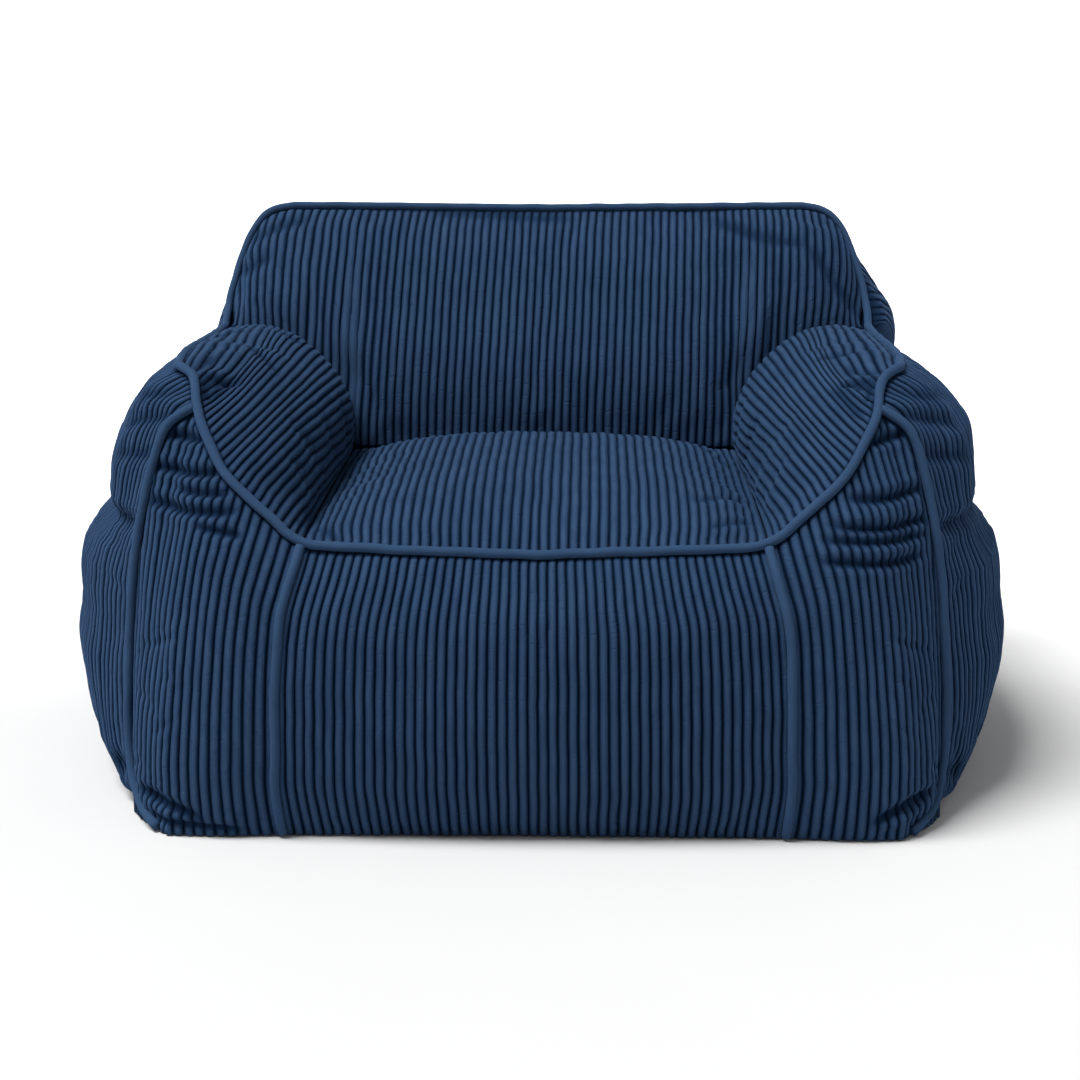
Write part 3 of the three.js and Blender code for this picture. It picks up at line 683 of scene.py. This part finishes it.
def corduroy():
    finish = Finish("navy_corduroy")
    rib = finish.node("ShaderNodeAttribute", output=2, settings={"attribute_name": "rib"})
    cloth = finish.node("ShaderNodeUVMap", settings={"uv_map": "cloth"})
    pile_place = finish.node("ShaderNodeMapping", Vector=cloth, Scale=(1500, 420, 1))
    pile = finish.node("ShaderNodeTexNoise", Vector=pile_place, Scale=1.0, Detail=3.0, Roughness=0.6)
    streak_place = finish.node("ShaderNodeMapping", Vector=cloth, Scale=(100, 22, 1))
    streak = finish.node("ShaderNodeTexNoise", Vector=streak_place, Scale=1.0, Detail=3.0)
    where = finish.node("ShaderNodeTexCoord", output=3)
    cloud = finish.node("ShaderNodeTexNoise", Vector=where, Scale=7.0, Detail=3.0)
    nick_place = finish.node("ShaderNodeMapping", Vector=cloth, Scale=(90, 210, 1))
    nick = finish.node("ShaderNodeTexNoise", Vector=nick_place, Scale=1.0, Detail=2.0)
    nicks = finish.node("ShaderNodeMapRange", Value=nick, From_Min=0.6, From_Max=0.72)
    # The rib height paints shade into the grooves, made patchy by random streak, pile and cloud tone.
    height = rib**2.0
    tone = height * (0.72 + 0.5 * streak) + (pile - 0.5) * 0.35 + (cloud - 0.5) * 0.25
    # Painted shade: low points on the rib take the dark groove blue.
    groove_shaded = finish.node(
        "ShaderNodeMix", output=2, settings={"data_type": "RGBA"},
        _0=tone, _6=GROOVE_BLUE, _7=RIB_BLUE,
    )
    # Painted highlight: where the tone is highest, mostly on the rib crests, the colour turns pale,
    # patchy with the streak and pile noise.
    painted_highlight = (tone - 0.55) * 0.9
    colour = finish.node(
        "ShaderNodeMix", output=2, settings={"data_type": "RGBA"}, _0=painted_highlight, _6=groove_shaded, _7=CREST_HIGHLIGHT_BLUE,
    )
    dented = finish.node("ShaderNodeBump", Height=1 - nicks, Strength=0.5, Distance=0.0012)
    bump = finish.node("ShaderNodeBump", Height=pile, Strength=0.35, Distance=0.0006, Normal=dented)
    finish.feed(Base_Color=colour, Normal=bump, Roughness=0.93)
    finish.feed(Sheen_Weight=0.08, Sheen_Roughness=0.4, Sheen_Tint=(0.25, 0.5, 1, 1))
    finish.feed(Specular_IOR_Level=0.02)
    return finish.material


def piping_cloth():
    finish = Finish("navy_piping")
    cloth = finish.node("ShaderNodeUVMap", settings={"uv_map": "cloth"})
    pile_place = finish.node("ShaderNodeMapping", Vector=cloth, Scale=(1200, 600, 1))
    pile = finish.node("ShaderNodeTexNoise", Vector=pile_place, Scale=1.0, Detail=3.0)
    patch_place = finish.node("ShaderNodeMapping", Vector=cloth, Scale=(60, 26, 1))
    patch = finish.node("ShaderNodeTexNoise", Vector=patch_place, Scale=1.0, Detail=2.0)
    tone = 0.2 + patch * 0.8 + (pile - 0.5) * 0.4
    colour = finish.node(
        "ShaderNodeMix", output=2, settings={"data_type": "RGBA"},
        _0=tone, _6=PIPING_BLUE, _7=PIPING_PALE,
    )
    bump = finish.node("ShaderNodeBump", Height=pile, Strength=0.3, Distance=0.0005)
    finish.feed(Base_Color=colour, Normal=bump, Roughness=0.9)
    finish.feed(Sheen_Weight=0.08, Sheen_Roughness=0.4, Sheen_Tint=(0.25, 0.5, 1, 1))
    finish.feed(Specular_IOR_Level=0.02)
    return finish.material


def floor_paper():
    finish = Finish("pale_floor")
    where = finish.node("ShaderNodeTexCoord", output=3)
    grain = finish.node("ShaderNodeTexNoise", Vector=where, Scale=3.0, Detail=2.0)
    tone = 0.585 + grain * 0.02
    colour = finish.node("ShaderNodeCombineColor", _0=tone, _1=tone, _2=tone)
    finish.feed(Base_Color=colour, Roughness=0.9)
    return finish.material


CORDUROY = corduroy()
PIPING_CLOTH = piping_cloth()

# %% [markdown]
# ## Floor and backdrop
# The chair stands on pale paper. A flat floor would show a grey horizon, so a grid is bent up
# all round into a bowl. From the front it is white to the top; from low at the side its upper
# part is grey, because the backdrop's lamp only reaches the stretch behind the chair.

# %% Floor that curves up into a backdrop
FLOOR_HALF = 7.5
BEND_START = 4.6
BEND_RADIUS = 2.6
mesh = bmesh.new()
bmesh.ops.create_grid(mesh, x_segments=60, y_segments=60, size=FLOOR_HALF)
for vert in mesh.verts:
    reach = vert.co.length
    turn = min(max(reach - BEND_START, 0) / BEND_RADIUS, math.pi / 2)
    if turn > 0:
        vert.co.xy *= (BEND_START + BEND_RADIUS * math.sin(turn)) / reach
        vert.co.z = BEND_RADIUS * (1 - math.cos(turn)) + max(reach - BEND_START - turn * BEND_RADIUS, 0)
for polygon in mesh.faces:
    polygon.smooth = True
floor_data = bpy.data.meshes.new("floor")
mesh.to_mesh(floor_data)
mesh.free()
floor = bpy.data.objects.new("floor", floor_data)
bpy.context.scene.collection.objects.link(floor)
floor_data.materials.append(floor_paper())
print("materials", [m.name for m in bpy.data.materials])

# %% [markdown]
# ## Seat
# The seat is one broad crown. Its ribs run from front to back, and the filling pushes it up
# in the middle, so it looks full while its edges sink into the creases. It could be a box
# rounded off with bevels, but a crown on its four seams keeps its edge in the seam lines.

# %% Seat
SEAT_CROWN = 44
seat_creases = [
    dict(start=(178, 30), end=(222, -60), plane=(0, 1), width=7, depth=1.4),
    dict(start=(150, 62), end=(215, 20), plane=(0, 1), width=7, depth=1.3),
    dict(start=(165, -300), end=(225, -210), plane=(0, 1), width=7, depth=1.4),
    dict(start=(180, -370), end=(228, -300), plane=(0, 1), width=6, depth=1.4),
    dict(start=(-228, -330), end=(-200, -388), plane=(0, 1), width=6, depth=1.2),
]
padded_panel(
    "seat_panel",
    crowned(
        stretched(seat_arm.at, seat_arm.mirror().at, seat_front.at, seat_back.whole().at),
        lambda u, v: SEAT_CROWN * arch(u, 3) * arch(v, 3.2),
    ),
    47, 80, hub=(0, -150, 150), plain=("left", "right", "far"), cells=(44, 48), creases=seat_creases,
    seed=11,
)

# %% [markdown]
# ## Front and its corners
# The front is one broad panel with upright ribs. The two corner panels turn from it to the
# sides, and their slack cloth buckles across the ribs below the arms. The corners' ribs could
# fan out between the seams, but real ribs stay upright and are cut off by them, so each rib
# here is an upright line between the lower and the upper seam.

# %% Front panel
FRONT_CROWN = 15
padded_panel(
    "front_panel",
    crowned(
        stretched(front_side.at, front_side.mirror().at, base_front.at, seat_front.at),
        lambda u, v: FRONT_CROWN * arch(u, 2) * arch(v, 2.4),
    ),
    51, 60, hub=(0, -330, 150), floor_edge=True, cells=(46, 30), cap=6, seed=21,
)

# %% Front corners
CORNER_CROWN = 26
CORNER_CHORD = np.array([0.861, -0.508, 0])
CORNER_OUT = np.array([-0.508, -0.861, 0])
CORNER_START = -187.0


def corner_surface():
    """Upright ribs that end where the seams cut them off; v is the share along each rib."""
    widest = int(np.argmin(corner_side.points @ CORNER_CHORD))
    low = Seam(corner_side.points[: widest + 1][::-1]).then(base_corner)
    high = Seam(corner_side.points[widest:]).then(arm_front_low.back())
    low_end, high_end = low.points[-1] @ CORNER_CHORD, high.points[-1] @ CORNER_CHORD

    def surface(u, v):
        foot = low.at_key(CORNER_CHORD, CORNER_START + (low_end - CORNER_START) * u)
        head = high.at_key(CORNER_CHORD, CORNER_START + (high_end - CORNER_START) * u)
        share = v[..., None]
        ends = front_side.at(np.array([0.0, 1.0]))
        seam_bow = front_side.at(v) - ((1 - share) * ends[0] + share * ends[1])
        crown = CORNER_CROWN * fade(u, -0.02, 0.25) * arch(v, 2.6)
        bulge = u[..., None] * seam_bow + ((1 - u) * crown)[..., None] * CORNER_OUT
        return (1 - share) * foot + share * head + bulge

    return surface


left_corner_creases = [
    dict(start=(-384, 404), end=(-338, 402), width=4.7, depth=4.1, cut=0.7, bow=-2),
    dict(start=(-398, 372), end=(-318, 372), width=4.7, depth=4.6, cut=0.7, bow=-3),
    dict(start=(-366, 353), end=(-312, 352), width=4.2, depth=3.3, cut=0.7, bow=-2),
    dict(start=(-408, 338), end=(-300, 336), width=5.1, depth=4.1, cut=0.7, bow=-4),
    dict(start=(-345, 320), end=(-296, 312), width=4.2, depth=2.2, cut=0.7),
    dict(start=(-415, 40), end=(-340, 22), width=6.0, depth=3.3, cut=0.7, bow=4),
    dict(start=(-395, 18), end=(-300, 10), width=5.1, depth=2.8, cut=0.7),
]
right_corner_creases = [
    dict(start=(384, 408), end=(342, 400), width=4.7, depth=3.8, cut=0.7, bow=2),
    dict(start=(402, 352), end=(316, 350), width=5.1, depth=4.1, cut=0.7, bow=4),
    dict(start=(410, 322), end=(300, 324), width=4.7, depth=4.1, cut=0.7, bow=4),
    dict(start=(404, 306), end=(290, 311), width=4.2, depth=3.0, cut=0.7, bow=2),
    dict(start=(400, 286), end=(286, 292), width=4.7, depth=3.0, cut=0.7, bow=3),
    dict(start=(412, 44), end=(345, 22), width=6.0, depth=3.3, cut=0.7, bow=-4),
]
left_corner = corner_surface()
for side, surface, creases in (
    ("left", left_corner, left_corner_creases),
    ("right", mirrored(left_corner), right_corner_creases),
):
    padded_panel(
        f"front_corner_{side}", surface, 19, 150, hub=(-330 if side == "left" else 330, -330, 180),
        floor_edge=True, cells=(18, 40), creases=creases, cap=6, seed=31 + len(side),
    )

# %% [markdown]
# ## Arms
# Each arm is a fat roll. Its panel reaches from the outer seam over the top and down to the
# seat, and its ribs run from the front diagonal back to the backrest. A bent cylinder would
# come near, but the crown also folds into the seat and the backrest, as the real arm does.
# Small puckers gather round the arm's tip, where two seams meet the piping.

# %% Inner arms
ARM_CROWN = 52
left_arm_creases = [
    dict(start=(-366, -270), end=(-352, -205), plane=(0, 1), width=8, depth=1.8),
    dict(start=(-350, -310), end=(-318, -235), plane=(0, 1), width=8, depth=1.6),
    dict(start=(-330, -120), end=(-290, -175), plane=(0, 1), width=9, depth=1.3),
    dict(start=(-380, -60), end=(-345, -20), plane=(0, 1), width=9, depth=1.0),
    dict(start=(-322, 40), end=(-285, 0), plane=(0, 1), width=9, depth=1.2),
]
right_arm_creases = [
    dict(start=(372, -268), end=(330, -215), plane=(0, 1), width=8, depth=2.1, bow=6),
    dict(start=(345, -180), end=(305, -150), plane=(0, 1), width=9, depth=1.7),
    dict(start=(340, -325), end=(312, -250), plane=(0, 1), width=8, depth=1.3),
    dict(start=(372, 10), end=(330, 45), plane=(0, 1), width=9, depth=1.1),
]
TIP_PUCKERS = 7
PUCKER_LENGTH = 34
for k in range(TIP_PUCKERS):
    turn = math.radians(28 + 17 * k)
    reach_x, reach_y = PUCKER_LENGTH * math.cos(turn), PUCKER_LENGTH * math.sin(turn)
    for sign, listed in ((-1, left_arm_creases), (1, right_arm_creases)):
        out = 18 + 5 * (k % 3)
        tip = (sign * (360 - 0.55 * out), -268 - 7 * k)
        listed.append(dict(
            start=tip, end=(tip[0] - sign * reach_x, tip[1] + reach_y),
            plane=(0, 1), width=4.5, depth=1.6, cut=0.5,
        ))
left_arm = crowned(
    stretched(arm_top.at, seat_arm.at, arm_front.back().at, arm_back.back().at),
    lambda u, v: ARM_CROWN * arch(u, 2.6) * arch(v, 3),
)
for side, surface, creases in (
    ("left", left_arm, left_arm_creases),
    ("right", mirrored(left_arm), right_arm_creases),
):
    padded_panel(
        f"inner_arm_{side}", surface, 27, 110, hub=(-325 if side == "left" else 325, -40, 330),
        plain=("right" if side == "left" else "left", "far"), cells=(26, 44), creases=creases,
        seed=41 + len(side),
    )

# %% [markdown]
# ## Outer sides
# The sides bulge in two lobes with a soft pinch between them, where the arm's filling ends and
# the lower body begins. The pinch is a crease that runs right round the outside. The filling
# is uneven, so a short table then trims each side by height, not quite the same on both.

# %% Sides
SIDE_LOBES = [
    dict(height=40, middle=0.36, reach=0.37),
    dict(height=34, middle=0.74, reach=0.22),
]
side_creases = [
    dict(start=(-370, 309), end=(-60, 302), plane=(1, 2), width=7, depth=4.2),
    dict(start=(-60, 302), end=(230, 309), plane=(1, 2), width=10, depth=3.0),
    dict(start=(-330, 425), end=(-250, 405), plane=(1, 2), width=7, depth=2.4),
    dict(start=(-300, 440), end=(-190, 430), plane=(1, 2), width=7, depth=1.9),
    dict(start=(-345, 385), end=(-240, 372), plane=(1, 2), width=8, depth=1.8),
    dict(start=(-375, 60), end=(-290, 30), plane=(1, 2), width=10, depth=2.4),
    dict(start=(60, 420), end=(150, 380), plane=(1, 2), width=12, depth=1.8),
    dict(start=(300, 60), end=(180, 30), plane=(1, 2), width=12, depth=1.8),
]
SIDE_TRIM_HEIGHTS = (
    8, 33, 57, 80, 105, 129, 153, 178, 202, 226, 250, 274, 298, 323, 347, 371, 395, 440,
)
SIDE_TRIM = {
    "left": (3, 6, 7, 9, 10, 9, 7, 8, 5, -5, -10, -4, 21, 15, 15, 15, 13, 0),
    "right": (3, 5, 8, 10, 9, 9, 8, 10, 7, -1, -6, 4, 16, 11, 11, 9, 2, 0),
}


def trimmed(side):
    """How much less full a side is at each height than its two plain lobes, in mm."""
    def less(points, u, v):
        return -arch(u, 4) * np.interp(points[..., 2], SIDE_TRIM_HEIGHTS, SIDE_TRIM[side])

    return less


arm_edge = arm_top.back().then(arm_front_high.back())
left_side = crowned(
    stretched(back_corner.at, corner_side.at, base_side.at, arm_edge.at),
    lambda u, v: sum(r["height"] * lobe(v, r["middle"], r["reach"]) for r in SIDE_LOBES) * arch(u, 2.4),
)
for side, surface in (("left", left_side), ("right", mirrored(left_side))):
    padded_panel(
        f"side_{side}", surface, 66, 110, hub=(-380 if side == "left" else 380, 0, 200),
        floor_edge=True, plain=("left" if side == "left" else "right",), cells=(60, 44),
        creases=side_creases, extra=trimmed(side), seed=51 + len(side),
    )

# %% [markdown]
# ## Backrest
# The inside of the backrest has upright ribs that simply end where the side piping cuts them
# off, so u is measured straight across the chair and not along the seams. The outside is one
# large panel that bulges away from the sitter. The photograph shows only its upper right
# edge, so the rest of it is left plain, with a few soft creases.

# %% Backrest
BACKREST_CROWN = 34
BACK_CROWN = 48
BACKREST_LEAN = 24
HALF_BACK = 405
back_creases = [
    dict(start=(-385, 560), end=(-300, 590), width=8, depth=1.7, bow=4),
    dict(start=(-395, 520), end=(-350, 545), width=8, depth=1.5),
    dict(start=(205, 590), end=(335, 560), width=9, depth=1.8, bow=-5),
    dict(start=(330, 560), end=(395, 470), width=9, depth=1.5),
    dict(start=(-150, 596), end=(40, 588), width=8, depth=0.8),
]
ACROSS = np.array([1.0, 0, 0])
straight_rim = back_rim.upper()
straight_foot = backrest_foot.upper()
padded_panel(
    "back_inside",
    crowned(
        ruled(
            lambda u: straight_foot.at_key(ACROSS, (2 * u - 1) * HALF_BACK),
            lambda u: straight_rim.at_key(
                ACROSS, (2 * u - 1) * HALF_BACK + BACKREST_LEAN / 2 * arch(u, 4)
            ),
        ),
        lambda u, v: BACKREST_CROWN * arch(u, 6) * arch(v, 3),
    ),
    78, 70, hub=(0, 300, 400), plain=("left", "right", "near"), cells=(60, 32), creases=back_creases,
    cap=8, seed=61,
)
outside_creases = [
    dict(start=(-380, 60), end=(-200, 25), width=12, depth=3.5, cut=0.2),
    dict(start=(380, 60), end=(220, 30), width=12, depth=3.5, cut=0.2),
    dict(start=(-300, 330), end=(-120, 310), width=16, depth=2.5, cut=0.2),
    dict(start=(100, 300), end=(320, 325), width=16, depth=2.5, cut=0.2),
]


BULGE_MM = 22


def back_bulge(points, u, v):
    """The filling stands out at the back's upper right, behind the arm."""
    x, z = points[..., 0], points[..., 2]
    return BULGE_MM * np.exp(-(((x - 412) / 70) ** 2) - ((z - 455) / 62) ** 2)


padded_panel(
    "back_outside",
    crowned(
        stretched(back_corner.mirror().at, back_corner.at, base_back.back().at, back_rim.back().at),
        lambda u, v: BACK_CROWN * arch(u, 3) * arch(v, 2.2),
    ),
    84, 90, hub=(0, 320, 250), floor_edge=True, plain=("left", "right"), cells=(60, 40),
    creases=outside_creases, extra=back_bulge, seed=71,
)

# %% [markdown]
# ## Piping
# A strip of plain velvet wrapped round a cord and caught in the seam. It stands proud of both
# panels. A grid is rolled into a tube along the seam and its doubled edge is merged. A curve
# with a round bevel would do too, but the grid carries its own cloth map and small unevenness.

# %% Piping
PIPING_RADIUS_MM = 4.9
PIPING_LIFT_MM = 3.6
PIPING_AROUND = 14
PIPING_STEP_MM = 5.0


def inward_of(points):
    """Roughly the way into the filling from points on a seam, towards a spine in the chair."""
    x, y, z = points.T
    spine = np.stack([x * 0.82, np.clip(y * 0.8, -300, 270), z * 0.45], -1)
    inward = spine - points
    return inward / np.linalg.norm(inward, axis=1, keepdims=True)


def piping(name, seam, closed, trim=(0, 0), seed=5):
    length = seam.reach[-1]
    steps = int(length / PIPING_STEP_MM)
    share = np.linspace(trim[0] / length, 1 - trim[1] / length, steps + 1)
    line = seam.at(share)
    if closed:
        line = np.vstack([line[:-1], line[:1]])
    run = np.gradient(line, axis=0)
    if closed:
        run[0] = run[-1] = line[1] - line[-2]
    run = run / np.linalg.norm(run, axis=1, keepdims=True)
    inward = inward_of(line)
    side = np.cross(run, inward)
    side = side / np.linalg.norm(side, axis=1, keepdims=True)
    top = np.cross(side, run)
    top = top * np.where(np.sum(top * inward, axis=1, keepdims=True) > 0, -1, 1)
    along = share * length
    turn = np.linspace(0, 2 * math.pi, PIPING_AROUND + 1)
    around, step = np.meshgrid(turn, np.arange(steps + 1))
    hold = np.sin(np.pi * np.clip(share * length / 60, 0, 1) / 2) if closed else np.ones(steps + 1)
    hold = hold * (hold[::-1] if closed else 1)
    swell = 1 + 0.035 * waves(seed, 12, along / 45)[step] * hold[step]
    sway = (0.8 * waves(seed + 1, 10, along / 90) * hold)[step][..., None]
    lift = (PIPING_LIFT_MM + 0.35 * waves(seed + 2, 10, along / 60) * hold)[step][..., None]
    centre = line[step] + top[step] * lift + side[step] * sway
    offset = np.cos(around)[..., None] * side[step] + np.sin(around)[..., None] * top[step]
    points = centre + offset * (PIPING_RADIUS_MM * swell)[..., None]
    mesh = bmesh.new()
    bmesh.ops.create_grid(mesh, x_segments=PIPING_AROUND, y_segments=steps, size=1)
    uv_layer = mesh.loops.layers.uv.new("cloth")
    place = np.array([vert.co for vert in mesh.verts])
    i = np.rint((place[:, 0] + 1) / 2 * PIPING_AROUND).astype(int)
    j = np.rint((place[:, 1] + 1) / 2 * steps).astype(int)
    metres = in_chair(points)
    mesh.verts.index_update()
    for polygon in mesh.faces:
        for loop in polygon.loops:
            spot = loop.vert.index
            loop[uv_layer].uv = (turn[i[spot]] * PIPING_RADIUS_MM * MM, along[j[spot]] * MM)
    for vert, row, column in zip(mesh.verts, j, i):
        vert.co = metres[row, column]
    bmesh.ops.remove_doubles(mesh, verts=mesh.verts, dist=1e-6)
    ends = [e for e in mesh.edges if e.is_boundary]
    if ends:
        bmesh.ops.holes_fill(mesh, edges=ends, sides=PIPING_AROUND + 2)
    bmesh.ops.recalc_face_normals(mesh, faces=mesh.faces)
    for polygon in mesh.faces:
        polygon.smooth = True
    return finish_piece(name, mesh, PIPING_CLOTH)


half_rim = arm_front.then(arm_top).then(back_side).then(back_top)
rim_loop = half_rim.whole().then(seat_front.back())
piping("piping_main", rim_loop, True, seed=81)
for side, flip in (("left", lambda seam: seam), ("right", lambda seam: seam.mirror())):
    piping(f"piping_front_{side}", flip(front_side), False, trim=(4, 4), seed=91 + len(side))
    piping(f"piping_corner_{side}", flip(corner_side), False, trim=(16, 3), seed=95 + len(side))

# %% [markdown]
# ## Base
# Underneath is one plain flat sheet, sewn on last. It is a disc cut to the outline on the
# floor and lifted to its thickness. It lies on the floor and can't sag, so it needs no folds.

# %% Base sheet
BASE_INSET_MM = 6
BASE_THICKNESS_MM = 3
BASE_POINTS = 120


def base_sheet():
    half_back, half_front = Seam(smooth(BASE_BACK)), Seam(smooth(BASE_FRONT))
    half = half_back.back().then(base_side).then(base_corner).then(half_front)
    outline = half.then(half.mirror().back())
    points = outline.at(np.arange(BASE_POINTS) / BASE_POINTS)
    flat = np.linalg.norm(points[:, :2], axis=1, keepdims=True)
    points[:, :2] *= (flat - BASE_INSET_MM) / flat
    mesh = bmesh.new()
    bmesh.ops.create_circle(mesh, cap_ends=False, segments=BASE_POINTS, radius=1)
    mesh.verts.ensure_lookup_table()
    for vert, point in zip(mesh.verts, in_chair(points)):
        vert.co = (point[0], point[1], 0)
    bmesh.ops.triangle_fill(mesh, use_beauty=True, use_dissolve=False, edges=mesh.edges)
    made = bmesh.ops.extrude_face_region(mesh, geom=mesh.faces[:])["geom"]
    lifted = [item for item in made if isinstance(item, bmesh.types.BMVert)]
    bmesh.ops.translate(mesh, vec=(0, 0, BASE_THICKNESS_MM * MM), verts=lifted)
    bmesh.ops.recalc_face_normals(mesh, faces=mesh.faces)
    piece = finish_piece("base_panel", mesh, base_cloth())


def base_cloth():
    finish = Finish("navy_base")
    where = finish.node("ShaderNodeTexCoord", output=3)
    grain = finish.node("ShaderNodeTexNoise", Vector=where, Scale=900.0, Detail=2.0)
    patch = finish.node("ShaderNodeTexNoise", Vector=where, Scale=9.0, Detail=2.0)
    tone = grain * 0.5 + patch * 0.5
    colour = finish.node(
        "ShaderNodeMix", output=2, settings={"data_type": "RGBA"}, _0=tone, _6=GROOVE_BLUE, _7=RIB_BLUE,
    )
    bump = finish.node("ShaderNodeBump", Height=grain, Strength=0.3, Distance=0.0004)
    finish.feed(Base_Color=colour, Normal=bump, Roughness=0.9)
    return finish.material


base_sheet()

# %% [markdown]
# ## Finish
# The scene is brought up to date once every piece is made. The dressed chair has to stay in
# the box of the solids, apart from what soft cloth may add.

# %% Update the scene
bpy.context.view_layer.update()
